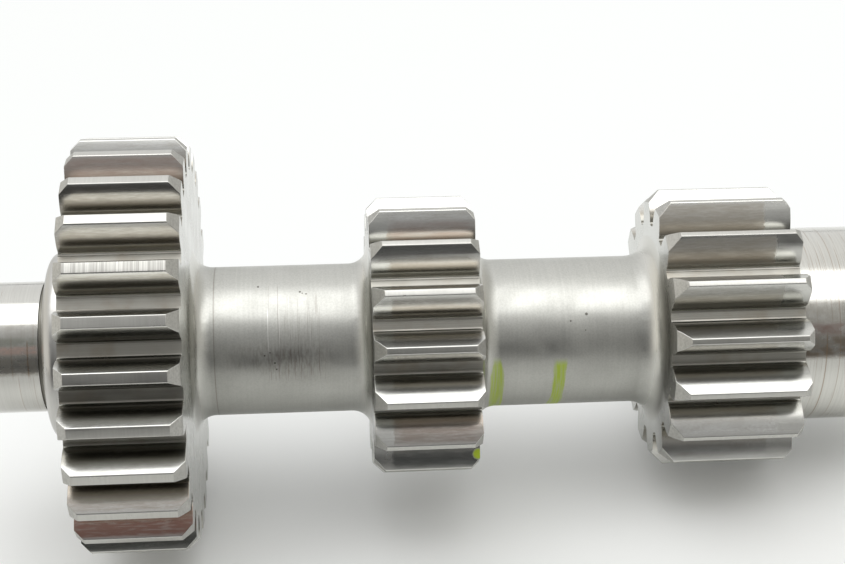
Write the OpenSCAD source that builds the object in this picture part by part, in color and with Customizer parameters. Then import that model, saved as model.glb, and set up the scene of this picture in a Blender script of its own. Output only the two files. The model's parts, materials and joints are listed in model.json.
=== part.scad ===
// Transmission shaft: three spur gears cut on one turned steel shaft, with a ground journal at each end.
// Stations run along the shaft axis from the left end face. The finished shaft lies at rest, on two teeth
// of its large gear and one tooth of its end gear, so its axis dips towards the end gear.

/* [Gear teeth] */
// Module of all three gears
gear_module = 4; // [3.7:0.05:4.3]
// Pressure angle of the teeth, degrees
pressure_angle = 20; // [18:0.5:22]
// Height of a tooth above the pitch circle, in modules
addendum_factor = 1; // [0.9:0.01:1.05]
// Depth of a tooth gap below the pitch circle, in modules
dedendum_factor = 1.25; // [1.1:0.01:1.35]
// Radius at the foot of each tooth flank
root_fillet_r = 0.75; // [0.4:0.05:0.9]
// Depth of the unground strip along the floor of each tooth gap
root_step = 0.15; // [0.05:0.01:0.3]
// Width of the broken edge along each tooth tip
tip_break = 0.25; // [0.1:0.05:0.4]
// Turn of the small gears' teeth ahead of the large gear's, degrees
clocking = 0.55; // [-3:0.05:3]

/* [Large gear] */
// Number of teeth
large_teeth = 26; // [23:1:30]
// Profile shift, in modules
large_shift = 0; // [-0.1:0.01:0.3]
// Width from face to face
large_w = 30.1; // [24:0.1:38]
// Chamfer of the tooth ends towards the collar
large_chamfer_left = 2.4; // [1:0.1:4]
// Chamfer of the tooth ends towards the middle gear
large_chamfer_right = 2.9; // [1:0.1:4]

/* [Middle gear] */
// Number of teeth
middle_teeth = 16; // [15:1:19]
// Profile shift, in modules
middle_shift = 0.46; // [0.3:0.01:0.6]
// Width from face to face
middle_w = 28.3; // [22:0.1:36]
// Chamfer of the tooth ends towards the large gear
middle_chamfer_left = 3; // [1:0.1:4]
// Chamfer of the tooth ends towards the end gear
middle_chamfer_right = 2.3; // [1:0.1:4]

/* [End gear] */
// Number of teeth
end_teeth = 16; // [15:1:19]
// Profile shift, in modules
end_shift = 0.55; // [0.3:0.01:0.6]
// Width from face to face
end_w = 35.7; // [28:0.1:44]
// Chamfer of the tooth ends towards the middle gear
end_chamfer_left = 3.3; // [1:0.1:4]
// Chamfer of the tooth ends towards the right journal
end_chamfer_right = 1.9; // [1:0.1:4]

/* [Waists] */
// Diameter of both waists
waist_d = 40.3; // [34:0.1:44]
// Length between the large and the middle gear
waist_large_l = 47.3; // [36:0.1:58]
// Length between the middle and the end gear
waist_end_l = 49.3; // [38:0.1:60]
// Fillet at the large gear
fillet_large = 5.2; // [2:0.1:6]
// Fillet at the middle gear's left face
fillet_middle_left = 5.2; // [2:0.1:6]
// Fillet at the middle gear's right face
fillet_middle_right = 5.5; // [2:0.1:6]
// Fillet at the end gear
fillet_end = 6.4; // [2:0.1:7]

/* [Left journal and collar] */
// Diameter of the left journal
left_journal_d = 35.2; // [30:0.1:40]
// Length of the left journal, up to the relief groove
left_journal_l = 27.5; // [18:0.5:40]
// Width of the relief groove beside the collar
groove_w = 1.8; // [0.8:0.1:3]
// Depth of the relief groove below the journal
groove_depth = 0.5; // [0.2:0.1:1.2]
// Height of the relief groove on the collar's face, above the journal
groove_rise = 0.7; // [0.3:0.1:1.2]
// Depth of the relief groove in the collar's face
groove_bite = 0.25; // [0.1:0.05:0.5]
// Diameter of the collar
collar_d = 51; // [46:0.1:56]
// Width of the collar
collar_w = 7.6; // [6:0.1:12]
// Round on the collar's outer corner
collar_round = 3.2; // [1:0.1:5]

/* [Right journal] */
// Diameter of the right journal
right_journal_d = 53.3; // [47:0.1:55]
// Length of the right journal
right_journal_l = 32; // [20:0.5:44]

/* [Shaft ends] */
// Chamfer on both end faces
end_face_chamfer = 1.5; // [0.5:0.1:3]
// Diameter of the pilot hole in each end
centre_pilot_d = 4; // [3:0.1:5]
// Depth of the pilot hole from the end face
centre_pilot_depth = 10; // [8:0.5:14]
// Mouth diameter of the conical centre seat in each end
centre_seat_d = 8.5; // [7:0.1:11]

/* [Hidden] */
$fn = 96;
steel = "#b4b4ae";
// Straight stretches along each flank and each foot round
flank_steps = 7;
fillet_steps = 3;
// How far a cutting shape passes the surface that it cuts
overcut = 1;
// How far a fillet reaches into the solid beside it
merge = 0.5;
// Full cone angle of a centre seat
centre_seat_angle = 60;
// Least land left between a fillet and the root circle
fillet_land = 0.5;

// Stations of the faces along the axis
groove_z = left_journal_l;
collar_z = groove_z + groove_w;
large_z = collar_z + collar_w;
waist_large_z = large_z + large_w;
middle_z = waist_large_z + waist_large_l;
waist_end_z = middle_z + middle_w;
end_z = waist_end_z + waist_end_l;
right_journal_z = end_z + end_w;
shaft_l = right_journal_z + right_journal_l;

// Radii of a gear from its tooth count and profile shift
function pitch_r(teeth) = gear_module * teeth / 2;
function base_r(teeth) = pitch_r(teeth) * cos(pressure_angle);
function tip_r(teeth, shift) = pitch_r(teeth) + gear_module * (addendum_factor + shift);
function root_r(teeth, shift) = pitch_r(teeth) - gear_module * (dedendum_factor - shift);

// Arc length s at radius r, as an angle in degrees
function arc_deg(s, r) = s / r * 180 / PI;
// Point at radius r and angle a
function polar(r, a) = [r * cos(a), r * sin(a)];
// Involute function, in degrees
function involute(a) = tan(a) * 180 / PI - a;
// Half of a tooth's angle at the pitch circle
function pitch_half_angle(teeth, shift) = (90 + 2 * shift * tan(pressure_angle) * 180 / PI) / teeth;
// Half of a tooth's angle at radius r on its involute flank
function half_angle(teeth, shift, r) =
    pitch_half_angle(teeth, shift) + involute(pressure_angle) - involute(acos(min(1, base_r(teeth) / r)));
// Half of a tooth gap's angle at radius r
function gap_angle(teeth, shift, r) = 180 / teeth - half_angle(teeth, shift, r);
// Half of a tooth gap's angle at the tooth tips, with the tip edges broken
function mouth_angle(teeth, shift) =
    gap_angle(teeth, shift, tip_r(teeth, shift) - tip_break) + arc_deg(tip_break, tip_r(teeth, shift));

// Radius at roll angle t, in degrees, of an involute
function involute_r(teeth, t) = base_r(teeth) * sqrt(1 + pow(t * PI / 180, 2));
function roll_angle(teeth, r) = sqrt(pow(r / base_r(teeth), 2) - 1) * 180 / PI;

// One side of a tooth gap, from outside the tip circle down the flank to the floor of the gap
function gap_side(teeth, shift) =
    let (
        tip = tip_r(teeth, shift),
        root = root_r(teeth, shift),
        foot_centre_r = root + root_fillet_r,
        foot_r = sqrt(pow(foot_centre_r, 2) - pow(root_fillet_r, 2)),
        flank_low = max(base_r(teeth), foot_r),
        flank_high = tip - tip_break,
        roll_low = roll_angle(teeth, flank_low),
        roll_high = roll_angle(teeth, flank_high),
        foot_angle = gap_angle(teeth, shift, flank_low),
        foot_centre_a = foot_angle - asin(root_fillet_r / foot_centre_r),
        mouth = gap_angle(teeth, shift, flank_high) + arc_deg(tip_break + overcut, tip),
        flank = [
            for (i = [0 : flank_steps])
                let (r = involute_r(teeth, roll_high + (roll_low - roll_high) * i / flank_steps))
                polar(r, gap_angle(teeth, shift, r))
        ],
        foot = [
            for (i = [0 : fillet_steps])
                let (turn = foot_angle + 90 + (90 - foot_angle + foot_centre_a) * i / fillet_steps)
                polar(foot_centre_r, foot_centre_a) + polar(root_fillet_r, turn)
        ]
    )
    concat([polar(tip + overcut, mouth)], flank, foot, [polar(root - root_step, foot_centre_a)]);

// Outline of one tooth gap, centred on +X
module tooth_gap(teeth, shift) {
    side = gap_side(teeth, shift);
    count = len(side);
    other_side = [for (i = [count - 1 : -1 : 0]) [side[i].x, -side[i].y]];
    polygon(concat(side, other_side));
}

// All tooth gaps of a gear of width w, with the first gap at angle first
module tooth_gaps(teeth, shift, w, first) {
    for (i = [0 : teeth - 1])
        rotate([0, 0, first + i * 360 / teeth])
            translate([0, 0, -overcut])
                linear_extrude(w + 2 * overcut)
                    tooth_gap(teeth, shift);
}

// Half section of a plain cylinder with a chamfer at each end
module turned_section(r, w, chamfer_low, chamfer_high) {
    polygon([
        [0, 0],
        [r - chamfer_low, 0],
        [r, chamfer_low],
        [r, w - chamfer_high],
        [r - chamfer_high, w],
        [0, w]
    ]);
}

// Half section of the collar, with a rounded corner and a relieved face towards the left journal
module collar_section() {
    r = collar_d / 2;
    relief_low = left_journal_d / 2 - groove_depth;
    relief_high = left_journal_d / 2 + groove_rise;
    difference() {
        union() {
            square([r - collar_round, collar_w + merge]);
            translate([0, collar_round])
                square([r, collar_w - collar_round + merge]);
            translate([r - collar_round, collar_round])
                circle(collar_round);
        }
        translate([relief_low, -overcut])
            square([relief_high - relief_low, groove_bite + overcut]);
    }
}

// Half section of a fillet of size f, between the waist and a gear face below it
module fillet_section(f) {
    translate([waist_d / 2 - merge, -merge])
        difference() {
            square([f + merge, f + merge]);
            translate([f + merge, f + merge])
                circle(f);
        }
}

// A fillet's size, held inside the root circle of the gear beside it
function seated_fillet(f, teeth, shift) = min(f, root_r(teeth, shift) - waist_d / 2 - fillet_land);

// Half section of the whole blank, before the teeth are cut
module blank_section() {
    union() {
        polygon([
            [0, 0],
            [left_journal_d / 2 - end_face_chamfer, 0],
            [left_journal_d / 2, end_face_chamfer],
            [left_journal_d / 2, groove_z],
            [left_journal_d / 2 - groove_depth, groove_z],
            [left_journal_d / 2 - groove_depth, collar_z + merge],
            [0, collar_z + merge]
        ]);
        translate([0, collar_z])
            collar_section();
        translate([0, large_z])
            turned_section(tip_r(large_teeth, large_shift), large_w, large_chamfer_left, large_chamfer_right);
        translate([0, waist_large_z - merge])
            square([waist_d / 2, waist_large_l + 2 * merge]);
        translate([0, waist_large_z])
            fillet_section(seated_fillet(fillet_large, large_teeth, large_shift));
        translate([0, middle_z])
            mirror([0, 1])
                fillet_section(seated_fillet(fillet_middle_left, middle_teeth, middle_shift));
        translate([0, middle_z])
            turned_section(tip_r(middle_teeth, middle_shift), middle_w, middle_chamfer_left, middle_chamfer_right);
        translate([0, waist_end_z])
            fillet_section(seated_fillet(fillet_middle_right, middle_teeth, middle_shift));
        translate([0, waist_end_z - merge])
            square([waist_d / 2, waist_end_l + 2 * merge]);
        translate([0, end_z])
            mirror([0, 1])
                fillet_section(seated_fillet(fillet_end, end_teeth, end_shift));
        translate([0, end_z])
            turned_section(tip_r(end_teeth, end_shift), end_w, end_chamfer_left, end_chamfer_right);
        translate([0, right_journal_z - merge])
            polygon([
                [0, 0],
                [right_journal_d / 2, 0],
                [right_journal_d / 2, right_journal_l + merge - end_face_chamfer],
                [right_journal_d / 2 - end_face_chamfer, right_journal_l + merge],
                [0, right_journal_l + merge]
            ]);
    }
}

// Centre hole that opens downwards at the origin: a pilot hole and a conical seat
module centre_hole() {
    seat_depth = (centre_seat_d - centre_pilot_d) / 2 / tan(centre_seat_angle / 2);
    rotate_extrude()
        polygon([
            [0, -overcut],
            [centre_seat_d / 2, -overcut],
            [centre_seat_d / 2, 0],
            [centre_pilot_d / 2, seat_depth],
            [centre_pilot_d / 2, centre_pilot_depth],
            [0, centre_pilot_depth]
        ]);
}

// Shaft standing on its left end, with a gap of the large gear at +X
module upright_shaft() {
    small_tooth = -180 / large_teeth - clocking;
    difference() {
        rotate_extrude()
            blank_section();
        translate([0, 0, large_z])
            tooth_gaps(large_teeth, large_shift, large_w, 0);
        translate([0, 0, middle_z])
            tooth_gaps(middle_teeth, middle_shift, middle_w, small_tooth + 180 / middle_teeth);
        translate([0, 0, end_z])
            tooth_gaps(end_teeth, end_shift, end_w, small_tooth + 180 / end_teeth);
        centre_hole();
        translate([0, 0, shaft_l])
            mirror([0, 0, 1])
                centre_hole();
    }
}

// Where the shaft touches the surface that it lies on: the right ends of the tooth tips
large_touch_z = waist_large_z - large_chamfer_right;
end_touch_z = right_journal_z - end_chamfer_right;
// Turn of the end gear's lowest tooth from straight down
end_pitch = 360 / end_teeth;
end_tooth = 180 / large_teeth + clocking;
end_lowest = abs(end_tooth - end_pitch * round(end_tooth / end_pitch));
end_land_half = 180 / end_teeth - mouth_angle(end_teeth, end_shift);
// Distance from the axis down to the touching tips of the large and the end gear
large_reach = tip_r(large_teeth, large_shift) * cos(mouth_angle(large_teeth, large_shift));
end_reach = tip_r(end_teeth, end_shift) * cos(max(0, end_lowest - end_land_half));
// Dip of the axis, and the height of the left end's centre
dip = atan((large_reach - end_reach) / (end_touch_z - large_touch_z));
left_end_h = large_touch_z * sin(dip) + large_reach * cos(dip);
// Reach of the dipped shaft along X on both sides of its left end's centre
reach_left = (left_journal_d / 2 - end_face_chamfer) * sin(dip);
reach_right = shaft_l * cos(dip) + (right_journal_d / 2 - end_face_chamfer) * sin(dip);

module transmission_shaft() {
    color(steel)
        translate([(reach_left - reach_right) / 2, 0, left_end_h])
            rotate([0, 90 + dip, 0])
                upright_shaft();
}

transmission_shaft();
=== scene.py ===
"""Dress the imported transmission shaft: machined steel finishes, paint marks, studio and camera."""

import json
import logging
import math
from dataclasses import dataclass, replace
from enum import Enum
from functools import cached_property, partial, reduce
from typing import Sequence, Union

import bpy
from mathutils import Matrix, Vector


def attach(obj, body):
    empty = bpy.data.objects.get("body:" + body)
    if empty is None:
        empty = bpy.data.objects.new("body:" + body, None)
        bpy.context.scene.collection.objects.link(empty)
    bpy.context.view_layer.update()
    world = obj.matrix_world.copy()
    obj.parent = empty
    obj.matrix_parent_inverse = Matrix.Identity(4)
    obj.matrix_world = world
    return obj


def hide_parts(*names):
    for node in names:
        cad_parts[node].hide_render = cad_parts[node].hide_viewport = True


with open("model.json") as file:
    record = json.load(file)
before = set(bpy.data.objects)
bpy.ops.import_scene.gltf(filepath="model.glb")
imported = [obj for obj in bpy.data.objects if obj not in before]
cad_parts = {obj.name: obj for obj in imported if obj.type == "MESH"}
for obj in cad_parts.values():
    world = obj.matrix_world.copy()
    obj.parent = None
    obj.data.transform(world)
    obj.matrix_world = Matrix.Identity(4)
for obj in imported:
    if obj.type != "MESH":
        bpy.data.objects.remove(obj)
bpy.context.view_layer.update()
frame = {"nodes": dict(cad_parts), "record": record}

LOG = logging.getLogger("transmission_shaft")
MM = 0.001
SHAFT_NODE = "transmission_shaft"
FRONT = Vector((0, -1, 0))

Socket = bpy.types.NodeSocket
Triple = tuple[float, float, float]
Color = Triple
Range = tuple[float, float]
Number = Union[Socket, float]
Tint = Union[Socket, Color]

RISE: Range = (0.0, 1.0)
FALL: Range = (1.0, 0.0)


class Region(Enum):
    """Stretches of the shaft that leave the machine shop with a finish of their own."""

    LEFT_JOURNAL = "left_journal"
    GROOVE = "relief_groove"
    COLLAR = "collar"
    WAIST = "waist"
    GEAR_FACE = "gear_face"
    CHAMFER = "tooth_end_chamfer"
    TIP = "tooth_tip"
    FLANK = "tooth_flank"
    ROOT = "tooth_root"
    RIGHT_JOURNAL = "right_journal"
    END_FACE = "end_face"


class Grain(Enum):
    """Which way the machining lines of a finish run."""

    AROUND = "around the axis"
    ALONG = "along the axis"


@dataclass(frozen=True)
class GearSizes:
    """Sizes of one gear, in millimetres along and from the shaft axis."""

    start: float
    width: float
    tip_r: float
    root_r: float
    contact_from: float
    contact_to: float

    @property
    def end(self) -> float:
        """Station of the gear's right face."""
        return self.start + self.width


@dataclass(frozen=True)
class ShaftSizes:
    """Stations and radii of the shaft, in millimetres from the centre of its left end face."""

    end_face_chamfer: float = 1.5
    left_journal_l: float = 27.5
    groove_w: float = 1.8
    groove_rise: float = 0.7
    left_journal_r: float = 17.6
    centre_seat_r: float = 4.3
    length: float = 259.6
    large: GearSizes = GearSizes(36.9, 30.1, 56.0, 47.0, 36.0, 68.0)
    middle: GearSizes = GearSizes(114.3, 28.3, 37.84, 28.84, 119.2, 144.0)
    end: GearSizes = GearSizes(191.9, 35.7, 38.2, 29.2, 190.0, 220.4)

    @property
    def gears(self) -> tuple[GearSizes, GearSizes, GearSizes]:
        """The three gears from left to right."""
        return self.large, self.middle, self.end

    @property
    def collar_start(self) -> float:
        """Station of the collar's shoulder."""
        return self.left_journal_l + self.groove_w


@dataclass(frozen=True)
class ShaftLine:
    """The shaft's axis in the row frame, in metres."""

    start: Vector
    along: Vector

    @classmethod
    def from_record(cls, record: dict, sizes: ShaftSizes) -> "ShaftLine":
        """Read the axis off the two journal mounts.

        Args:
            record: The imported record.
            sizes: The shaft's stations.

        Returns:
            The axis, from the centre of the left end face towards the right.
        """
        mounts = {mount["name"]: mount for mount in record["mounts"]}
        left = Vector(mounts["left_journal"]["pos_m"])
        along = Vector(mounts["right_journal"]["axis"]).normalized()
        left_station = (sizes.end_face_chamfer + sizes.left_journal_l) / 2
        return cls(left - along * left_station * MM, along)

    @property
    def dip(self) -> float:
        """Angle in radians by which the right end lies lower than the left."""
        return -math.asin(self.along.z)

    @property
    def up(self) -> Vector:
        """Unit vector square to the axis, in the upright plane."""
        return FRONT.cross(self.along).normalized()

    def point(self, station: float) -> Vector:
        """Point of the axis at a station in millimetres."""
        return self.start + self.along * station * MM

    def local(self, place: Vector) -> Vector:
        """Station, side and height of a place, in millimetres from the axis."""
        offset = place - self.start
        return Vector((offset.dot(self.along), offset.y, offset.dot(self.up))) / MM


@dataclass(frozen=True)
class Noise:
    """Noise on the shaft.

    The pitch is the size of a grain in millimetres along the axis, to the side and upwards. Detail is the
    number of finer octaves, and the shift gives another draw of the same noise.
    """

    pitch: Triple
    detail: float
    shift: float = 0.0


@dataclass(frozen=True)
class Pattern:
    """Noise that is eased from a range of its levels into a range of results."""

    noise: Noise
    levels: Range
    results: Range = RISE


@dataclass(frozen=True)
class Soft:
    """How far the edges of a patch fade: millimetres along the axis and degrees round it."""

    along: float
    around: float


@dataclass(frozen=True)
class Patch:
    """A stretch of surface between two stations and two angles round the axis."""

    from_station: float
    to_station: float
    from_angle: float
    to_angle: float
    share: float


@dataclass(frozen=True)
class Stain:
    """A patch of colour, with the share of bare metal that its film hides."""

    patch: Patch
    color: Color
    film: float


@dataclass(frozen=True)
class Spot:
    """A small round mark: station, distance from the axis and size in millimetres, angle in degrees."""

    station: float
    angle: float
    r: float
    size: float


@dataclass(frozen=True)
class RingLine:
    """A thin line round the shaft, or part of the way: millimetres along the axis, degrees round it."""

    station: float
    width: float
    share: float
    from_angle: float = -400.0
    to_angle: float = 400.0


@dataclass(frozen=True)
class PaintStroke:
    """A marker stroke round part of the shaft: stations in millimetres, angles in degrees."""

    station: float
    width: float
    top_width: float
    from_angle: float
    to_angle: float
    lean: float
    cover: float


WAIST_R = 20.15
PAINT: Color = (0.36, 0.47, 0.02)
PAINT_ROUGHNESS = 0.5
PAINT_DOT = Spot(142.1, -32.9, 34.6, 1.8)
SPOT_CORE = 0.55
RING_SOFT = Soft(0.08, 3.0)
# Painted shade: the corners of the fillets at the gear faces are darkened on the front side.
SHADED_CORNERS: tuple[Patch, ...] = (
    Patch(104.0, 116.0, -35.0, 72.0, 0.75),
    Patch(182.0, 193.5, -35.0, 72.0, 0.85),
)
CORNER_SHADE_SOFT = Soft(0.5, 14.0)
CORNER_SHADE_R: Range = (22.3, 24.6)
CORNER_SHADE_COLOR: Color = (0.16, 0.155, 0.14)
LINE_LEVELS: Range = (0.3, 0.7)
SPECKS = Pattern(Noise((0.45, 0.45, 0.45), 3.0, 7.3), (0.35, 0.7))
SPECK_COLOR: Color = (0.16, 0.16, 0.145)
STAINS = Pattern(Noise((6.0, 6.0, 6.0), 4.0, 3.1), (0.45, 0.72))
STAIN_COLOR: Color = (0.27, 0.23, 0.17)
UNEVEN = Pattern(Noise((9.0, 9.0, 9.0), 2.0, 1.7), (0.3, 0.7), (0.85, 1.15))


class NodeKit:
    """Adds and links shader nodes in one material or world."""

    def __init__(self, owner: Union[bpy.types.Material, bpy.types.World]) -> None:
        """Empty the owner's node tree.

        Args:
            owner: The material or world to fill.
        """
        owner.use_nodes = True
        self.tree = owner.node_tree
        self.tree.nodes.clear()

    def node(self, kind: str) -> bpy.types.Node:
        """Add a node of a kind."""
        return self.tree.nodes.new(kind)

    def join(self, source: Socket, target: Socket) -> None:
        """Link an output to an input."""
        self.tree.links.new(source, target)

    def feed(self, target: Socket, value: Union[Socket, float, Sequence[float]]) -> None:
        """Link a socket to an input, or set the input's own value."""
        if isinstance(value, bpy.types.NodeSocket):
            self.join(value, target)
        else:
            target.default_value = value

    def split(self, vector: Socket) -> tuple[Socket, Socket, Socket]:
        """The three parts of a vector."""
        node = self.node("ShaderNodeSeparateXYZ")
        self.join(vector, node.inputs[0])
        return tuple(node.outputs)

    def math(self, operation: str, first: Number, second: Number = 0.0) -> Socket:
        """Combine two numbers.

        Args:
            operation: Name of the math operation.
            first: First number or socket.
            second: Second number or socket.

        Returns:
            The result.
        """
        node = self.node("ShaderNodeMath")
        node.operation = operation
        self.feed(node.inputs[0], first)
        self.feed(node.inputs[1], second)
        return node.outputs[0]

    def times(self, *values: Number) -> Socket:
        """The product of two numbers or more."""
        return reduce(partial(self.math, "MULTIPLY"), values)

    def square(self, value: Socket) -> Socket:
        """A number times itself."""
        return self.times(value, value)

    def highest(self, values: Sequence[Socket]) -> Socket:
        """The largest of several numbers."""
        return reduce(partial(self.math, "MAXIMUM"), values)

    def ramp(self, value: Socket, ends: Range, results: Range = RISE) -> Socket:
        """Ease a number from one range to another.

        Args:
            value: The number.
            ends: Values at which the easing starts and stops.
            results: Results before and after it.

        Returns:
            The eased number.
        """
        node = self.node("ShaderNodeMapRange")
        node.interpolation_type = "SMOOTHSTEP"
        self.join(value, node.inputs["Value"])
        for name, number in zip(("From Min", "From Max", "To Min", "To Max"), (*ends, *results)):
            node.inputs[name].default_value = number
        return node.outputs["Result"]

    def band(self, value: Socket, low: float, high: float, soft: float) -> Socket:
        """1 between two values and 0 outside them, with soft edges."""
        rise = self.ramp(value, (low - soft, low + soft))
        fall = self.ramp(value, (high - soft, high + soft), FALL)
        return self.times(rise, fall)

    def blend(self, share: Number, first: Tint, second: Tint) -> Socket:
        """Mix two colours by a share of the second."""
        node = self.node("ShaderNodeMix")
        node.data_type = "RGBA"
        self.feed(node.inputs["Factor"], share)
        for socket, value in ((node.inputs[6], first), (node.inputs[7], second)):
            self.feed(socket, value if isinstance(value, bpy.types.NodeSocket) else (*value, 1.0))
        return node.outputs[2]

    def mix(self, share: Number, first: Number, second: Number) -> Socket:
        """Mix two numbers by a share of the second."""
        node = self.node("ShaderNodeMix")
        self.feed(node.inputs["Factor"], share)
        self.feed(node.inputs[2], first)
        self.feed(node.inputs[3], second)
        return node.outputs[0]


class ShaftKit(NodeKit):
    """Shader nodes of one steel material, with places on the shaft in millimetres and degrees."""

    def __init__(self, material: bpy.types.Material, line: ShaftLine) -> None:
        """Set up the shader and the shaft's coordinates.

        Args:
            material: The material to fill.
            line: The shaft's axis.
        """
        super().__init__(material)
        output = self.node("ShaderNodeOutputMaterial")
        self.shader = self.node("ShaderNodeBsdfPrincipled")
        self.join(self.shader.outputs["BSDF"], output.inputs["Surface"])
        coordinates = self.node("ShaderNodeTexCoord")
        mapping = self.node("ShaderNodeMapping")
        turn = Matrix.Rotation(-line.dip, 3, "Y")
        mapping.inputs["Scale"].default_value = (1 / MM,) * 3
        mapping.inputs["Rotation"].default_value = (0, -line.dip, 0)
        mapping.inputs["Location"].default_value = -(turn @ line.start) / MM
        self.join(coordinates.outputs["Object"], mapping.inputs["Vector"])
        self.place = mapping.outputs["Vector"]
        self.station, side, self.height = self.split(self.place)
        self.front = self.times(side, -1.0)
        squared = self.math("ADD", self.square(self.front), self.square(self.height))
        self.radius = self.math("SQRT", squared)

    @cached_property
    def angle(self) -> Socket:
        """Angle round the axis in degrees: 0 at the front, 90 on top, -90 underneath."""
        radians = self.math("ARCTAN2", self.height, self.front)
        return self.times(radians, 180 / math.pi)

    def noise(self, noise: Noise) -> Socket:
        """Noise from 0 to 1 with its own pitch along the station, side and height of the shaft."""
        scale = self.node("ShaderNodeMapping")
        scale.inputs["Scale"].default_value = [1 / size for size in noise.pitch]
        scale.inputs["Location"].default_value = (noise.shift,) * 3
        self.join(self.place, scale.inputs["Vector"])
        node = self.node("ShaderNodeTexNoise")
        node.inputs["Scale"].default_value = 1.0
        node.inputs["Detail"].default_value = noise.detail
        self.join(scale.outputs["Vector"], node.inputs["Vector"])
        return node.outputs["Fac"]

    def waver(self, noise: Noise, reach: float) -> Socket:
        """Noise about zero, with a reach from its lowest to its highest value."""
        return self.times(self.math("SUBTRACT", self.noise(noise), 0.5), reach)

    def pattern(self, pattern: Pattern, scale: float = 1.0) -> Socket:
        """A pattern's eased noise, with its results times a scale."""
        low, high = pattern.results
        return self.ramp(self.noise(pattern.noise), pattern.levels, (low * scale, high * scale))

    def patch(self, patch: Patch, soft: Soft) -> Socket:
        """1 inside a patch, with soft edges, times its share."""
        across = self.band(self.station, patch.from_station, patch.to_station, soft.along)
        around = self.band(self.angle, patch.from_angle, patch.to_angle, soft.around)
        return self.times(across, around, patch.share)

    def ring(self, ring: RingLine) -> Socket:
        """1 on a thin line round the shaft, times its share."""
        half = ring.width / 2
        thread = self.band(self.station, ring.station - half, ring.station + half, RING_SOFT.along)
        around = self.band(self.angle, ring.from_angle, ring.to_angle, RING_SOFT.around)
        return self.times(thread, around, ring.share)

    def spot(self, spot: Spot) -> Socket:
        """1 inside a small round spot on a cylinder, fading to 0 at its rim."""
        turn = math.radians(spot.angle)
        across = self.math("SUBTRACT", self.station, spot.station)
        ahead = self.math("SUBTRACT", self.front, spot.r * math.cos(turn))
        above = self.math("SUBTRACT", self.height, spot.r * math.sin(turn))
        upright = self.math("ADD", self.square(ahead), self.square(above))
        total = self.math("ADD", self.square(across), upright)
        return self.ramp(self.math("SQRT", total), (spot.size * SPOT_CORE, spot.size), FALL)

    def bump(self, height: Socket, depth: float) -> None:
        """Give the surface relief of a depth in millimetres, from a height of 0 to 1."""
        node = self.node("ShaderNodeBump")
        node.inputs["Strength"].default_value = 1.0
        node.inputs["Distance"].default_value = depth * MM
        self.join(height, node.inputs["Height"])
        self.join(node.outputs["Normal"], self.shader.inputs["Normal"])


@dataclass(frozen=True)
class Look:
    """What a steel shader is fed: colour, roughness and share of bare metal."""

    kit: ShaftKit
    color: Socket
    rough: Socket
    metal: Number = 1.0

    def tint(self, share: Number, color: Tint) -> "Look":
        """Lay a colour over the metal by a share."""
        return replace(self, color=self.kit.blend(share, self.color, color))

    def even(self, share: Number, roughness: float) -> "Look":
        """Bring the roughness to another value by a share."""
        return replace(self, rough=self.kit.mix(share, self.rough, roughness))

    def cover(self, share: Number) -> "Look":
        """Hide the bare metal by a share."""
        return replace(self, metal=self.kit.mix(share, self.metal, 0.0))

    def paint(self, share: Number) -> "Look":
        """Lay marker paint over the metal by a share."""
        return self.tint(share, PAINT).even(share, PAINT_ROUGHNESS).cover(share)


@dataclass(frozen=True)
class ToolLines:
    """Marks of the tool: pitch, depth and run in millimetres, contrast as a share of the colour."""

    grain: Grain
    pitch: float
    contrast: float
    depth: float
    run: float = 90.0
    detail: float = 4.0

    @property
    def noise(self) -> Noise:
        """Noise drawn out into lines that run the way the tool went."""
        fine, long = self.pitch, self.run
        pitch = (fine, long, long) if self.grain is Grain.AROUND else (long, fine, fine)
        return Noise(pitch, self.detail)


@dataclass(frozen=True)
class SteelFinish:
    """One machined steel surface.

    The lines are the marks of the tool; worn and stained colour is laid over them in soft patches.
    """

    region: Region
    color: Color
    roughness: float
    lines: ToolLines
    speckle: float = 0.0
    stain_share: float = 0.0
    paint_spots: tuple[Spot, ...] = ()

    def material(self, line: ShaftLine, sizes: ShaftSizes) -> bpy.types.Material:
        """Make the finish's material.

        Args:
            line: The shaft's axis.
            sizes: The shaft's stations and radii.

        Returns:
            The new material.
        """
        material = bpy.data.materials.new(f"steel_{self.region.value}")
        kit = ShaftKit(material, line)
        lines = kit.noise(self.lines.noise)
        look = self.dress(self.clean(kit, lines), sizes)
        for spot in self.paint_spots:
            look = look.paint(kit.spot(spot))
        kit.join(look.color, kit.shader.inputs["Base Color"])
        kit.join(look.rough, kit.shader.inputs["Roughness"])
        kit.feed(kit.shader.inputs["Metallic"], look.metal)
        if self.lines.depth > 0:
            kit.bump(lines, self.lines.depth)
        return material

    def clean(self, kit: ShaftKit, lines: Socket) -> Look:
        """Look of the metal as it was machined.

        Args:
            kit: The material's nodes.
            lines: The tool lines.

        Returns:
            The look before wear and marks.
        """
        contrast = self.lines.contrast
        darker = tuple(part * (1 - contrast) for part in self.color)
        lighter = tuple(min(1.0, part * (1 + contrast)) for part in self.color)
        color = kit.blend(kit.ramp(lines, LINE_LEVELS), darker, lighter)
        look = Look(kit, color, kit.pattern(UNEVEN, self.roughness))
        if self.speckle > 0:
            look = look.tint(kit.times(kit.pattern(SPECKS), self.speckle), SPECK_COLOR)
        if self.stain_share > 0:
            look = look.tint(kit.times(kit.pattern(STAINS), self.stain_share), STAIN_COLOR)
        return look

    def dress(self, look: Look, sizes: ShaftSizes) -> Look:
        """Add the marks of this surface alone; a plain finish has none.

        Args:
            look: Look of the clean metal.
            sizes: The shaft's stations and radii; a plain finish does not use them.

        Returns:
            The look with its marks.
        """
        return look

    def corner(self, look: Look) -> Look:
        """Painted shade: darken the steep foot of the gear faces on the front, in the corner of the fillet.
        """
        kit = look.kit
        foot = kit.ramp(kit.radius, CORNER_SHADE_R)
        for patch in SHADED_CORNERS:
            look = look.tint(kit.times(kit.patch(patch, CORNER_SHADE_SOFT), foot), CORNER_SHADE_COLOR)
        return look


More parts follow.
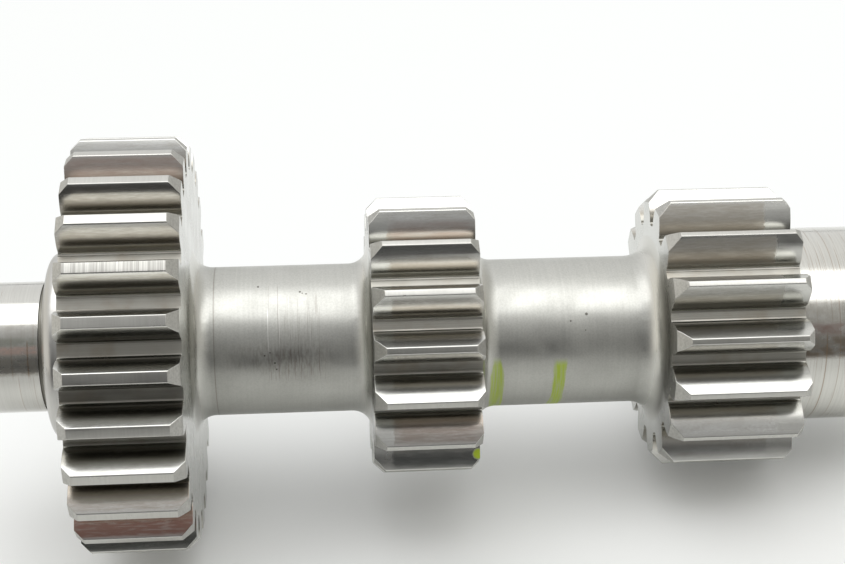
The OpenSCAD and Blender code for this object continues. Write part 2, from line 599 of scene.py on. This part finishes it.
@dataclass(frozen=True)
class WaistFinish(SteelFinish):
    """Satin turned waists and fillets with pits, scratches, a handling smudge and paint strokes, and painted
    shade on the underside and in the fillet corners.
    """

    fillet_r: Range = (20.2, 21.8)
    fillet_color: Color = (0.55, 0.545, 0.51)
    fillet_roughness: float = 0.25
    # Painted shade: the underside of the waists is darkened in colour.
    underside_shade: Patch = Patch(60.0, 200.0, -200.0, 12.0, 0.3)
    underside_shade_soft: Soft = Soft(1.0, 8.0)
    underside_shade_color: Color = (0.3, 0.3, 0.275)
    strokes: tuple[PaintStroke, ...] = (
        PaintStroke(164.2, 3.3, 3.4, -70.0, 11.5, 0.008, 0.95),
        PaintStroke(147.4, 3.6, 2.2, -70.0, 14.0, -0.008, 0.85),
    )
    stroke_edge: Range = (-0.3, 0.3)
    stroke_end: float = 4.0
    wander: Noise = Noise((3.0, 5.0, 5.0), 2.0, 9.0)
    wander_reach: float = 1.0
    dry: Pattern = Pattern(Noise((0.4, 9.0, 9.0), 3.0, 2.2), (0.35, 0.6), (0.5, 1.0))
    pits: tuple[Spot, ...] = (
        Spot(84.8, 80.0, WAIST_R, 0.4),
        Spot(95.8, 73.7, WAIST_R, 0.38),
        Spot(96.4, 72.4, WAIST_R, 0.25),
        Spot(97.4, 71.6, WAIST_R, 0.3),
        Spot(86.2, 23.9, WAIST_R, 0.3),
        Spot(87.6, 26.0, WAIST_R, 0.25),
        Spot(88.8, 18.0, WAIST_R, 0.35),
        Spot(89.2, 13.0, WAIST_R, 0.3),
        Spot(171.3, 47.9, WAIST_R, 0.5),
        Spot(167.0, 42.9, WAIST_R, 0.3),
        Spot(170.9, 35.7, WAIST_R, 0.22),
    )
    pit_share: float = 0.8
    pit_color: Color = (0.06, 0.055, 0.045)
    rings: tuple[RingLine, ...] = (
        RingLine(73.1, 0.25, 0.5),
        RingLine(87.5, 0.1, 0.4, 56.0, 80.0),
        RingLine(89.9, 0.14, 0.6, 37.0, 80.0),
        RingLine(92.4, 0.08, 0.4, 36.0, 70.0),
        RingLine(93.6, 0.08, 0.3, 36.0, 66.0),
        RingLine(95.1, 0.1, 0.45, 34.0, 68.0),
        RingLine(97.6, 0.1, 0.5, 32.0, 66.0),
        RingLine(98.9, 0.08, 0.4, 34.0, 64.0),
        RingLine(100.2, 0.08, 0.35, 34.0, 72.0),
    )
    scores: tuple[RingLine, ...] = (
        RingLine(87.2, 0.14, 0.75, 28.0, 58.0),
        RingLine(90.15, 0.1, 0.6, 32.0, 60.0),
        RingLine(98.2, 0.08, 0.5, 30.0, 44.0),
    )
    score_color: Color = (0.85, 0.85, 0.82)
    smudges: tuple[Patch, ...] = (
        Patch(77.0, 103.0, 14.0, 31.0, 0.35),
        Patch(85.0, 100.0, 6.0, 30.0, 0.35),
    )
    smudge_soft: Soft = Soft(4.0, 9.0)
    smudge_color: Color = (0.18, 0.15, 0.125)
    streaks: Pattern = Pattern(Noise((0.6, 2.2, 2.2), 5.0, 5.9), (0.35, 0.75))
    scratched: tuple[Patch, ...] = (
        Patch(90.0, 101.5, 34.0, 70.0, 0.5),
        Patch(87.0, 103.0, 4.0, 30.0, 0.5),
    )
    scratch_soft: Soft = Soft(1.5, 4.0)
    hairs: Pattern = Pattern(Noise((0.22, 9.0, 9.0), 2.0, 12.5), (0.56, 0.68))

    def dress(self, look: Look, sizes: ShaftSizes) -> Look:
        """Lay painted shade on the underside and in the fillet corners, and turned lines, smudges,
        scratches, pits and paint, over the metal.
        """
        kit = look.kit
        fillet = kit.ramp(kit.radius, self.fillet_r)
        shaded_below = kit.patch(self.underside_shade, self.underside_shade_soft)
        look = look.tint(shaded_below, self.underside_shade_color).tint(fillet, self.fillet_color)
        # Painted shade in the fillet corners.
        look = self.corner(look).even(fillet, self.fillet_roughness)
        for ring in self.rings:
            look = look.tint(kit.ring(ring), self.smudge_color)
        look = self.smudge(look)
        for ring in self.scores:
            look = look.tint(kit.ring(ring), self.score_color)
        for pit in self.pits:
            look = look.tint(kit.times(kit.spot(pit), self.pit_share), self.pit_color)
        for stroke in self.strokes:
            look = look.paint(self.stroke_mask(kit, stroke))
        return look

    def smudge(self, look: Look) -> Look:
        """Dark handling marks and fine scratches on the first waist."""
        kit = look.kit
        streaks = kit.pattern(self.streaks)
        for patch in self.smudges:
            zone = kit.patch(patch, self.smudge_soft)
            look = look.tint(kit.times(zone, streaks), self.smudge_color)
        hairs = kit.pattern(self.hairs)
        for patch in self.scratched:
            zone = kit.patch(patch, self.scratch_soft)
            look = look.tint(kit.times(zone, hairs), self.smudge_color)
        return look

    def stroke_mask(self, kit: ShaftKit, stroke: PaintStroke) -> Socket:
        """Where a stroke covers the metal, thinner where the marker ran dry."""
        leaned = kit.math("ADD", kit.station, kit.times(kit.angle, -stroke.lean))
        place = kit.math("ADD", leaned, kit.waver(self.wander, self.wander_reach))
        off = kit.math("ABSOLUTE", kit.math("SUBTRACT", place, stroke.station))
        half = kit.ramp(kit.angle, (0.0, stroke.to_angle), (stroke.width / 2, stroke.top_width / 2))
        inside = kit.ramp(kit.math("SUBTRACT", half, off), self.stroke_edge)
        reach = kit.band(kit.angle, stroke.from_angle, stroke.to_angle, self.stroke_end)
        return kit.times(inside, reach, kit.pattern(self.dry, stroke.cover))


@dataclass(frozen=True)
class FlankZones:
    """Masks on the flanks: worn by contact, height up the tooth, foot of the tooth, depth of the gap."""

    worn: Socket
    height: Socket
    foot: Socket
    gap: Socket


@dataclass(frozen=True)
class FlankFinish(SteelFinish):
    """Ground tooth flanks, with the darker polish and stains where mating teeth have run, and painted shade
    at the feet of the teeth and in the front gaps.
    """

    gear_margin: float = 1.0
    gear_soft: float = 0.2
    contact_soft: float = 0.5
    contact_inset: Range = (1.6, 0.5)
    contact_edge: float = 0.7
    height_inset: Range = (2.5, 2.0)
    foot_rise: Range = (1.5, 5.0)
    gap_depth: Range = (4.5, 1.2)
    ragged: Noise = Noise((1.0, 0.8, 0.8), 3.0, 8.1)
    ragged_reach: float = 2.0
    polish_high: Color = (0.67, 0.675, 0.655)
    polish_low: Color = (0.5, 0.46, 0.395)
    polish_roughness: float = 0.22
    streaks: Pattern = Pattern(Noise((9.0, 0.8, 0.8), 5.0, 4.4), (0.3, 0.7), (0.5, 0.95))
    mottle: Pattern = Pattern(Noise((0.8, 0.25, 0.25), 4.0, 6.6), (0.35, 0.7), (0.0, 0.2))
    blotch: Pattern = Pattern(Noise((9.0, 2.0, 2.0), 3.0, 2.9), (0.45, 0.75), (0.0, 0.28))
    # Painted shade: the feet of the teeth, down by the roots, are darkened all round.
    foot_shade_color: Color = (0.27, 0.265, 0.235)
    foot_shade_share: float = 0.7
    # Painted shade: the deep parts of the tooth gaps on the front of each gear are darkened.
    gap_shade_color: Color = (0.13, 0.13, 0.11)
    gap_shade_patches: tuple[Patch, ...] = (
        Patch(36.0, 68.0, -16.0, 46.0, 0.62),
        Patch(190.0, 228.0, -22.0, 52.0, 0.35),
        Patch(114.0, 143.0, -22.0, 16.0, 0.3),
    )
    gap_shade_soft: Soft = Soft(0.5, 3.0)
    films: tuple[Stain, ...] = (
        Stain(Patch(36.0, 68.0, 50.0, 88.0, 0.6), (0.3, 0.28, 0.24), 0.0),
        Stain(Patch(36.0, 68.0, -16.5, -7.0, 0.5), (0.36, 0.3, 0.245), 0.0),
        Stain(Patch(36.0, 68.0, 90.5, 101.0, 0.6), (0.33, 0.25, 0.215), 0.4),
        Stain(Patch(36.0, 68.0, -33.5, -23.5, 1.2), (0.32, 0.19, 0.155), 0.0),
        Stain(Patch(36.0, 68.0, -50.0, -33.5, 0.65), (0.16, 0.17, 0.14), 0.0),
        Stain(Patch(190.0, 221.0, 55.0, 100.0, 0.7), (0.29, 0.26, 0.215), 0.5),
        Stain(Patch(190.0, 221.0, 38.0, 55.0, 0.5), (0.24, 0.225, 0.19), 0.3),
        Stain(Patch(118.0, 143.0, -20.0, -5.0, 0.6), (0.27, 0.24, 0.2), 0.0),
        Stain(Patch(118.0, 143.0, -42.0, -25.0, 0.65), (0.2, 0.21, 0.2), 0.0),
        Stain(Patch(118.0, 143.0, 40.0, 60.0, 0.35), (0.25, 0.21, 0.16), 0.0),
    )
    film_soft: Soft = Soft(0.6, 1.5)
    film_roughness: float = 0.42
    clouds: Pattern = Pattern(Noise((3.5, 0.5, 0.5), 5.0, 9.4), (0.3, 0.65), (0.6, 1.0))
    rusty: tuple[Patch, ...] = (
        Patch(38.0, 66.0, 91.5, 100.5, 0.25),
        Patch(120.0, 142.0, 88.0, 93.6, 0.35),
        Patch(120.0, 142.0, -18.0, -8.0, 0.25),
    )
    rust_soft: Soft = Soft(2.5, 0.8)
    rust: Color = (0.33, 0.175, 0.135)

    def dress(self, look: Look, sizes: ShaftSizes) -> Look:
        """Lay the contact polish, its stains and the painted shade of the tooth feet and gaps over the
        ground metal.
        """
        kit = look.kit
        zones = self.zones(kit, sizes.gears)
        streaks = kit.pattern(self.streaks)
        look = look.tint(kit.times(zones.worn, streaks), self.polish(kit, zones.height))
        look = look.even(zones.worn, self.polish_roughness)
        # Painted shade at the feet of the teeth.
        look = look.tint(kit.times(zones.foot, self.foot_shade_share), self.foot_shade_color)
        # Painted shade in the front tooth gaps.
        for patch in self.gap_shade_patches:
            look = look.tint(kit.times(kit.patch(patch, self.gap_shade_soft), zones.gap), self.gap_shade_color)
        clouds = kit.pattern(self.clouds)
        for stain in self.films:
            zone = kit.times(kit.patch(stain.patch, self.film_soft), zones.worn, clouds)
            look = look.tint(zone, stain.color)
            if stain.film > 0:
                look = look.cover(kit.times(zone, stain.film)).even(zone, self.film_roughness)
        for patch in self.rusty:
            zone = kit.times(kit.patch(patch, self.rust_soft), zones.worn, streaks)
            look = look.tint(zone, self.rust)
        return look

    def polish(self, kit: ShaftKit, height: Socket) -> Socket:
        """Colour of the contact polish, paler up the tooth and mottled with old oil."""
        polish = kit.blend(height, self.polish_low, self.polish_high)
        for pattern in (self.mottle, self.blotch):
            polish = kit.blend(kit.pattern(pattern), polish, STAIN_COLOR)
        return polish

    def zones(self, kit: ShaftKit, gears: Sequence[GearSizes]) -> FlankZones:
        """Masks on the flanks of all gears.

        Args:
            kit: The material's nodes.
            gears: The gears.

        Returns:
            The masks, each the largest of those of the gears.
        """
        place = kit.math("ADD", kit.station, kit.waver(self.ragged, self.ragged_reach))
        found = [self.gear_masks(kit, place, gear) for gear in gears]
        return FlankZones(*(kit.highest(masks) for masks in zip(*found)))

    def gear_masks(self, kit: ShaftKit, place: Socket, gear: GearSizes) -> tuple[Socket, ...]:
        """Masks on the flanks of one gear.

        Args:
            kit: The material's nodes.
            place: The station, made ragged for the ends of the contact.
            gear: The gear.

        Returns:
            The worn, height, foot and gap masks.
        """
        root, tip, margin = gear.root_r, gear.tip_r, self.gear_margin
        near = kit.band(kit.station, gear.start - margin, gear.end + margin, self.gear_soft)
        run = kit.band(place, gear.contact_from, gear.contact_to, self.contact_soft)
        low, high = self.contact_inset
        depth = kit.band(kit.radius, root + low, tip - high, self.contact_edge)
        low, high = self.height_inset
        height = kit.ramp(kit.radius, (root + low, tip - high))
        low, high = self.foot_rise
        foot = kit.ramp(kit.radius, (root + low, root + high), FALL)
        deep, shallow = self.gap_depth
        gap = kit.ramp(kit.radius, (tip - deep, tip - shallow), FALL)
        return kit.times(run, depth), kit.times(near, height), kit.times(near, foot), kit.times(near, gap)


@dataclass(frozen=True)
class JournalFinish(SteelFinish):
    """Ground journals with rust-brown running marks round the axis and a band that is partly brown stain,
    partly painted dark reflection.
    """

    rust: Color = (0.25, 0.165, 0.1)
    rust_share: float = 0.5
    marked: Pattern = Pattern(Noise((7.0, 10.0, 10.0), 3.0, 8.8), (0.42, 0.66))
    threads: Pattern = Pattern(Noise((0.22, 24.0, 24.0), 2.0, 6.1), (0.56, 0.68))
    streaks: Pattern = Pattern(Noise((2.5, 1.6, 1.6), 5.0, 2.7), (0.3, 0.6), (0.4, 1.0))
    # Bands where the dark front reflects: partly brown stain, partly painted dark reflection.
    stains: tuple[Stain, ...] = ()
    stain_and_reflection_soft: Soft = Soft(0.8, 2.0)
    rings: tuple[RingLine, ...] = ()

    def dress(self, look: Look, sizes: ShaftSizes) -> Look:
        """Draw the running marks and the band of stain and painted dark reflection."""
        kit = look.kit
        marks = kit.times(kit.pattern(self.marked), kit.pattern(self.threads), self.rust_share)
        look = look.tint(marks, self.rust)
        streaks = kit.pattern(self.streaks)
        for stain in self.stains:
            zone = kit.times(kit.patch(stain.patch, self.stain_and_reflection_soft), streaks)
            look = look.tint(zone, stain.color).cover(kit.times(zone, stain.film))
        for ring in self.rings:
            look = look.tint(kit.ring(ring), self.rust)
        return look


@dataclass(frozen=True)
class FaceFinish(SteelFinish):
    """Turned gear faces with painted shade in the corners at the fillets."""

    def dress(self, look: Look, sizes: ShaftSizes) -> Look:
        """Carry the painted shade of the fillet corners on to the faces."""
        return self.corner(look)


@dataclass(frozen=True)
class TipFinish(SteelFinish):
    """Turned tooth lands, one of them with the marks of the turning tool left strong."""

    lined: Patch = Patch(36.0, 68.0, 52.0, 64.0, 0.9)
    lined_soft: Soft = Soft(0.5, 0.5)
    line_color: Color = (0.3, 0.295, 0.275)
    cuts: Pattern = Pattern(Noise((0.26, 90.0, 90.0), 1.0, 4.9), (0.36, 0.62))

    def dress(self, look: Look, sizes: ShaftSizes) -> Look:
        """Draw the strong tool lines across one land."""
        kit = look.kit
        zone = kit.patch(self.lined, self.lined_soft)
        return look.tint(kit.times(zone, kit.pattern(self.cuts)), self.line_color)


def finishes() -> list[SteelFinish]:
    """The finish of every region of the shaft."""
    around, along = Grain.AROUND, Grain.ALONG
    dot = (PAINT_DOT,)
    return [
        JournalFinish(
            Region.LEFT_JOURNAL,
            color=(0.54, 0.535, 0.505),
            roughness=0.12,
            lines=ToolLines(around, pitch=0.5, contrast=0.04, depth=0.0004),
            rust_share=0.35,
            # Band of the left journal: partly brown stain, partly painted dark reflection.
            stains=(
                Stain(Patch(2.0, 27.4, 29.5, 36.5, 0.8), (0.42, 0.285, 0.235), 0.55),
                Stain(Patch(2.0, 27.4, 36.5, 44.0, 0.55), (0.18, 0.19, 0.14), 0.3),
                Stain(Patch(2.0, 27.4, 44.0, 56.0, 0.35), (0.3, 0.28, 0.23), 0.2),
                Stain(Patch(2.0, 27.4, 11.0, 29.5, 0.55), (0.2, 0.18, 0.14), 0.6),
            ),
            rings=(
                RingLine(24.8, 0.3, 0.75, 10.0, 40.0),
                RingLine(20.7, 0.2, 0.45, 8.0, 44.0),
                RingLine(22.1, 0.15, 0.5, -90.0, 10.0),
                RingLine(25.9, 0.15, 0.3, -90.0, 10.0),
            ),
        ),
        SteelFinish(
            Region.GROOVE,
            color=(0.2, 0.195, 0.17),
            roughness=0.45,
            lines=ToolLines(around, pitch=0.3, contrast=0.1, depth=0.0),
        ),
        SteelFinish(
            Region.COLLAR,
            color=(0.48, 0.475, 0.455),
            roughness=0.32,
            lines=ToolLines(around, pitch=0.6, contrast=0.03, depth=0.0005),
        ),
        WaistFinish(
            Region.WAIST,
            color=(0.49, 0.49, 0.46),
            roughness=0.4,
            lines=ToolLines(around, pitch=0.8, contrast=0.03, depth=0.0005),
            speckle=0.16,
        ),
        FaceFinish(
            Region.GEAR_FACE,
            color=(0.56, 0.565, 0.54),
            roughness=0.25,
            lines=ToolLines(around, pitch=0.6, contrast=0.03, depth=0.0004),
            speckle=0.06,
        ),
        SteelFinish(
            Region.CHAMFER,
            color=(0.46, 0.455, 0.43),
            roughness=0.45,
            lines=ToolLines(around, pitch=0.35, contrast=0.05, depth=0.0008),
            speckle=0.3,
            paint_spots=dot,
        ),
        TipFinish(
            Region.TIP,
            color=(0.5, 0.495, 0.465),
            roughness=0.32,
            lines=ToolLines(around, pitch=0.4, contrast=0.035, depth=0.0003),
            paint_spots=dot,
        ),
        FlankFinish(
            Region.FLANK,
            color=(0.6, 0.6, 0.57),
            roughness=0.24,
            lines=ToolLines(along, pitch=0.35, contrast=0.04, depth=0.0002),
            speckle=0.08,
            paint_spots=dot,
        ),
        SteelFinish(
            Region.ROOT,
            color=(0.37, 0.36, 0.325),
            roughness=0.4,
            lines=ToolLines(along, pitch=0.3, contrast=0.06, depth=0.0002),
            stain_share=0.4,
        ),
        JournalFinish(
            Region.RIGHT_JOURNAL,
            color=(0.58, 0.575, 0.54),
            roughness=0.16,
            lines=ToolLines(around, pitch=0.5, contrast=0.05, depth=0.0005),
            # Band of the right journal: partly brown stain, partly painted dark reflection.
            stains=(
                Stain(Patch(227.0, 262.0, 28.7, 35.5, 0.9), (0.2, 0.14, 0.12), 0.5),
                Stain(Patch(227.0, 262.0, 15.6, 28.7, 0.9), (0.14, 0.11, 0.08), 0.65),
                Stain(Patch(227.0, 262.0, 35.5, 48.0, 0.4), (0.27, 0.24, 0.19), 0.3),
            ),
            rings=(
                RingLine(234.0, 0.3, 0.6, -60.0, 30.0),
                RingLine(237.6, 0.2, 0.5),
                RingLine(231.5, 0.12, 0.35),
            ),
        ),
        SteelFinish(
            Region.END_FACE,
            color=(0.56, 0.555, 0.525),
            roughness=0.38,
            lines=ToolLines(around, pitch=0.6, contrast=0.05, depth=0.0005),
        ),
    ]


@dataclass(frozen=True)
class ShaftBody:
    """The one-piece shaft, made from the CAD node with its edges broken and its surfaces dressed.

    Slacks, reaches and the edge break are in millimetres; the values named axial and radial are shares of a
    face's normal.
    """

    line: ShaftLine
    sizes: ShaftSizes
    name: str = "shaft_steel"
    merge_m: float = 2e-6
    flat_angle: float = math.radians(0.4)
    edge_angle: float = math.radians(24)
    smooth_angle: float = math.radians(32)
    edge_break: float = 0.16
    edge_segments: int = 2
    face_slack: float = 0.05
    tip_slack: float = 0.1
    relief_reach: float = 0.3
    end_axial: float = 0.9
    face_axial: float = 0.97
    chamfer_axial: float = 0.25
    tip_radial: float = 0.97

    def build(self) -> bpy.types.Object:
        """Copy the CAD node, finish its mesh and dress it.

        Returns:
            The finished piece, which stands for the CAD node.
        """
        piece = bpy.data.objects.new(self.name, frame["nodes"][SHAFT_NODE].data.copy())
        bpy.context.scene.collection.objects.link(piece)
        self.activate(piece)
        self.join_triangles()
        self.dress(piece)
        self.mark_edges(piece.data)
        self.break_edges(piece)
        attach(piece, "root")
        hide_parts(SHAFT_NODE)
        return piece

    def activate(self, piece: bpy.types.Object) -> None:
        """Make a piece the only selected one."""
        bpy.ops.object.select_all(action="DESELECT")
        piece.select_set(True)
        bpy.context.view_layer.objects.active = piece

    def join_triangles(self) -> None:
        """Weld the loose triangles of the active mesh and join those that lie in one plane."""
        bpy.ops.mesh.customdata_custom_splitnormals_clear()
        bpy.ops.object.mode_set(mode="EDIT")
        bpy.ops.mesh.select_all(action="SELECT")
        bpy.ops.mesh.remove_doubles(threshold=self.merge_m)
        bpy.ops.mesh.dissolve_limited(angle_limit=self.flat_angle)
        bpy.ops.object.mode_set(mode="OBJECT")

    def region(self, mesh: bpy.types.Mesh, face: bpy.types.MeshPolygon) -> Region:
        """Region of a face, from the mean station and distance from the axis of its corners.

        Args:
            mesh: The piece's mesh.
            face: One of its faces.

        Returns:
            The region that the face belongs to.
        """
        sizes = self.sizes
        corners = [self.line.local(mesh.vertices[index].co) for index in face.vertices]
        station = sum(corner.x for corner in corners) / len(corners)
        r = sum(math.hypot(corner.y, corner.z) for corner in corners) / len(corners)
        axial = abs(face.normal.dot(self.line.along))
        at_end = not self.face_slack < station < sizes.length - self.face_slack
        if r < sizes.centre_seat_r or (at_end and axial > self.end_axial):
            return Region.END_FACE
        for gear in sizes.gears:
            if gear.start - self.face_slack < station < gear.end + self.face_slack:
                return self.gear_region(gear, face, r, axial)
        if station < sizes.left_journal_l - self.face_slack:
            return Region.LEFT_JOURNAL
        if station < sizes.collar_start + self.relief_reach and r < sizes.left_journal_r + sizes.groove_rise:
            return Region.GROOVE
        if station < sizes.large.start:
            return Region.COLLAR
        if station > sizes.end.end:
            return Region.RIGHT_JOURNAL
        return Region.WAIST

    def gear_region(self, gear: GearSizes, face: bpy.types.MeshPolygon, r: float, axial: float) -> Region:
        """Region of a face on a gear.

        Args:
            gear: The gear.
            face: The face.
            r: Its distance from the axis in millimetres.
            axial: Share of the normal that lies along the axis.

        Returns:
            The region that the face belongs to.
        """
        if axial > self.face_axial:
            return Region.GEAR_FACE
        if axial > self.chamfer_axial:
            return Region.CHAMFER
        outward = face.center - self.line.start
        outward -= self.line.along * outward.dot(self.line.along)
        radial = face.normal.dot(outward.normalized())
        if r > gear.tip_r - self.tip_slack and radial > self.tip_radial:
            return Region.TIP
        if r < gear.root_r + self.face_slack:
            return Region.ROOT
        return Region.FLANK

    def dress(self, piece: bpy.types.Object) -> None:
        """Give each face the finish of its region."""
        order = list(Region)
        made = {finish.region: finish.material(self.line, self.sizes) for finish in finishes()}
        piece.data.materials.clear()
        for region in order:
            piece.data.materials.append(made[region])
        counts = dict.fromkeys(order, 0)
        for face in piece.data.polygons:
            region = self.region(piece.data, face)
            face.material_index = order.index(region)
            counts[region] += 1
        for region, count in counts.items():
            LOG.info("%s: %d faces", region.value, count)

    def mark_edges(self, mesh: bpy.types.Mesh) -> None:
        """Weight the sharp outer edges of the teeth, gear faces and shaft ends for the bevel."""
        root = list(Region).index(Region.ROOT)
        sides: dict[tuple[int, int], list[bpy.types.MeshPolygon]] = {}
        for face in mesh.polygons:
            for key in face.edge_keys:
                sides.setdefault(key, []).append(face)
        weights = mesh.attributes.new("bevel_weight_edge", "FLOAT", "EDGE")
        for edge in mesh.edges:
            faces = sides.get(edge.key, [])
            if len(faces) != 2 or any(face.material_index == root for face in faces):
                continue
            if faces[0].normal.angle(faces[1].normal, 0.0) > self.edge_angle:
                weights.data[edge.index].value = 1.0

    def break_edges(self, piece: bpy.types.Object) -> None:
        """Bevel the weighted edges and shade the piece smooth between its sharp ones."""
        bevel = piece.modifiers.new("edge_break", "BEVEL")
        bevel.limit_method = "WEIGHT"
        bevel.width = self.edge_break * MM
        bevel.segments = self.edge_segments
        bevel.use_clamp_overlap = True
        bpy.ops.object.modifier_apply(modifier=bevel.name)
        bpy.ops.object.shade_smooth_by_angle(angle=self.smooth_angle)
        weighted = piece.modifiers.new("face_normals", "WEIGHTED_NORMAL")
        weighted.keep_sharp = True
        bpy.ops.object.modifier_apply(modifier=weighted.name)


@dataclass(frozen=True)
class Studio:
    """Pale floor, overhead softbox and a room that is dark in front and pale at the sides and behind.

    The room's stops are places from the front (0) over the top to the back (1), each with its brightness.
    """

    floor_size: float = 6.0
    floor_color: Color = (0.88, 0.89, 0.882)
    # Painted shade: the floor darkens towards the front, where the lamp's light falls off.
    near_shade_color: Color = (0.68, 0.685, 0.68)
    near_shade_y: Range = (-0.16, -0.01)
    front_color: Color = (0.04, 0.04, 0.04)
    front_y: Range = (-0.43, -0.4)
    floor_roughness: float = 0.4
    white: Color = (0.97, 0.985, 0.975)
    white_levels: Range = (0.03, 0.85)
    white_y: Range = (-0.03, 0.1)
    steel_share: float = 0.5
    lamp_size: Range = (1.3, 0.54)
    lamp_place: Triple = (0.24, -0.07, 0.83)
    lamp_turn: float = -22.0
    lamp_power: float = 3.8
    left_color: Color = (1.12, 1.09, 1.02)
    left_x: Range = (-0.8, -0.4)
    right_color: Color = (0.75, 0.74, 0.7)
    right_x: Range = (0.25, 0.65)
    backdrop: Color = (1.0, 1.0, 1.0)
    room: tuple[Range, ...] = (
        (0.0, 0.06),
        (0.08, 0.08),
        (0.14, 0.3),
        (0.25, 0.44),
        (0.32, 0.6),
        (0.38, 0.85),
        (0.44, 1.15),
        (0.72, 1.22),
        (1.0, 1.02),
    )

    def build(self) -> None:
        """Set up floor, lamp and surroundings."""
        self.build_floor()
        self.build_lamp()
        self.build_room()

    def build_floor(self) -> None:
        """Add the plain pale floor that the shaft lies on."""
        bpy.ops.object.select_all(action="DESELECT")
        bpy.ops.mesh.primitive_plane_add(size=self.floor_size)
        floor = bpy.context.object
        floor.name = "floor"
        floor.data.materials.append(self.floor_material())

    def floor_material(self) -> bpy.types.Material:
        """Matt pale floor, darkened towards the front as painted shade, that shows the camera and the steel
        a share of plain white.

        Returns:
            The floor's material.
        """
        material = bpy.data.materials.new("pale_floor")
        kit = NodeKit(material)
        coordinates = kit.node("ShaderNodeTexCoord")
        back = kit.split(coordinates.outputs["Object"])[1]
        paths = kit.node("ShaderNodeLightPath")
        camera_ray = paths.outputs["Is Camera Ray"]
        steel_ray = kit.times(paths.outputs["Is Glossy Ray"], self.steel_share)
        # Painted shade towards the front of the floor.
        color = kit.blend(kit.ramp(back, self.near_shade_y), self.near_shade_color, self.floor_color)
        shown = kit.math("MAXIMUM", kit.ramp(back, self.front_y), camera_ray)
        color = kit.blend(shown, self.front_color, color)
        shader = kit.node("ShaderNodeBsdfPrincipled")
        shader.inputs["Roughness"].default_value = self.floor_roughness
        kit.join(color, shader.inputs["Base Color"])
        white = kit.node("ShaderNodeEmission")
        white.inputs["Color"].default_value = (*self.white, 1.0)
        seen = kit.math("MAXIMUM", camera_ray, steel_ray)
        mix = kit.node("ShaderNodeMixShader")
        kit.join(kit.times(seen, kit.ramp(back, self.white_y, self.white_levels)), mix.inputs[0])
        kit.join(shader.outputs["BSDF"], mix.inputs[1])
        kit.join(white.outputs["Emission"], mix.inputs[2])
        output = kit.node("ShaderNodeOutputMaterial")
        kit.join(mix.outputs[0], output.inputs["Surface"])
        return material

    def build_lamp(self) -> None:
        """Hang the softbox over the shaft."""
        data = bpy.data.lights.new("softbox", "AREA")
        data.shape = "RECTANGLE"
        data.size, data.size_y = self.lamp_size
        data.energy = self.lamp_power
        lamp = bpy.data.objects.new("softbox", data)
        lamp.location = self.lamp_place
        lamp.rotation_euler.z = math.radians(self.lamp_turn)
        bpy.context.scene.collection.objects.link(lamp)

    def build_room(self) -> None:
        """Shade the surroundings by their direction round the shaft: front, above and behind."""
        world = bpy.data.worlds.new("room")
        bpy.context.scene.world = world
        kit = NodeKit(world)
        coordinates = kit.node("ShaderNodeTexCoord")
        right, back, up = kit.split(coordinates.outputs["Generated"])
        turn = kit.math("ARCTAN2", up, kit.times(back, -1.0))
        levels = kit.node("ShaderNodeValToRGB")
        stops = levels.color_ramp.elements
        while len(stops) < len(self.room):
            stops.new(0.5)
        for stop, (place, level) in zip(stops, self.room):
            stop.position = place
            stop.color = (level, level, level, 1.0)
        kit.join(kit.math("DIVIDE", turn, math.pi), levels.inputs["Fac"])
        walls = kit.blend(kit.ramp(right, self.left_x, FALL), levels.outputs["Color"], self.left_color)
        walls = kit.blend(kit.ramp(right, self.right_x), walls, self.right_color)
        paths = kit.node("ShaderNodeLightPath")
        shown = kit.blend(paths.outputs["Is Camera Ray"], walls, self.backdrop)
        background = kit.node("ShaderNodeBackground")
        kit.join(shown, background.inputs["Color"])
        output = kit.node("ShaderNodeOutputWorld")
        kit.join(background.outputs["Background"], output.inputs["Surface"])


@dataclass(frozen=True)
class PhotoCamera:
    """Camera at the photograph's viewpoint, in pixels of an 845 by 564 image and degrees."""

    image_width: float = 845.0
    sensor_mm: float = 36.0
    clip_start_m: float = 0.01
    focal_px: float = 1600.0
    px_per_mm: float = 3.634
    aim_station: float = 129.0
    axis_below_centre: float = 52.6
    swing: float = 4.02
    roll: float = 1.65
    elevation: float = 34.2

    def build(self, line: ShaftLine) -> bpy.types.Object:
        """Place the camera relative to the shaft's axis.

        Args:
            line: The shaft's axis.

        Returns:
            The scene's camera.
        """
        lift = math.radians(self.elevation)
        facing = FRONT * math.cos(lift) + line.up * math.sin(lift)
        rising = line.up * math.cos(lift) - FRONT * math.sin(lift)
        cos_swing, sin_swing = math.cos(math.radians(self.swing)), math.sin(math.radians(self.swing))
        cos_roll, sin_roll = math.cos(math.radians(self.roll)), math.sin(math.radians(self.roll))
        level = line.along * cos_swing + facing * sin_swing
        right = level * cos_roll - rising * sin_roll
        down = -level * sin_roll - rising * cos_roll
        view = line.along * sin_swing - facing * cos_swing
        to_metres = MM / self.px_per_mm
        offset = down * self.axis_below_centre + view * self.focal_px
        eye = line.point(self.aim_station) - offset * to_metres
        data = bpy.data.cameras.new("photo_camera")
        data.sensor_width = self.sensor_mm
        data.sensor_fit = "HORIZONTAL"
        data.lens = self.sensor_mm * self.focal_px / self.image_width
        data.clip_start = self.clip_start_m
        camera = bpy.data.objects.new("photo_camera", data)
        turn = Matrix((right, -down, -view)).transposed().to_4x4()
        camera.matrix_world = Matrix.Translation(eye) @ turn
        bpy.context.scene.collection.objects.link(camera)
        bpy.context.scene.camera = camera
        return camera


def main() -> None:
    """Build the dressed shaft, its studio and the camera."""
    logging.basicConfig(level=logging.INFO, format="%(name)s: %(message)s")
    sizes = ShaftSizes()
    line = ShaftLine.from_record(frame["record"], sizes)
    PhotoCamera().build(line)
    piece = ShaftBody(line, sizes).build()
    LOG.info("%s: %d faces in all", piece.name, len(piece.data.polygons))
    Studio().build()
    bpy.context.scene.view_settings.view_transform = "Standard"


if __name__ == "__main__":
    main()
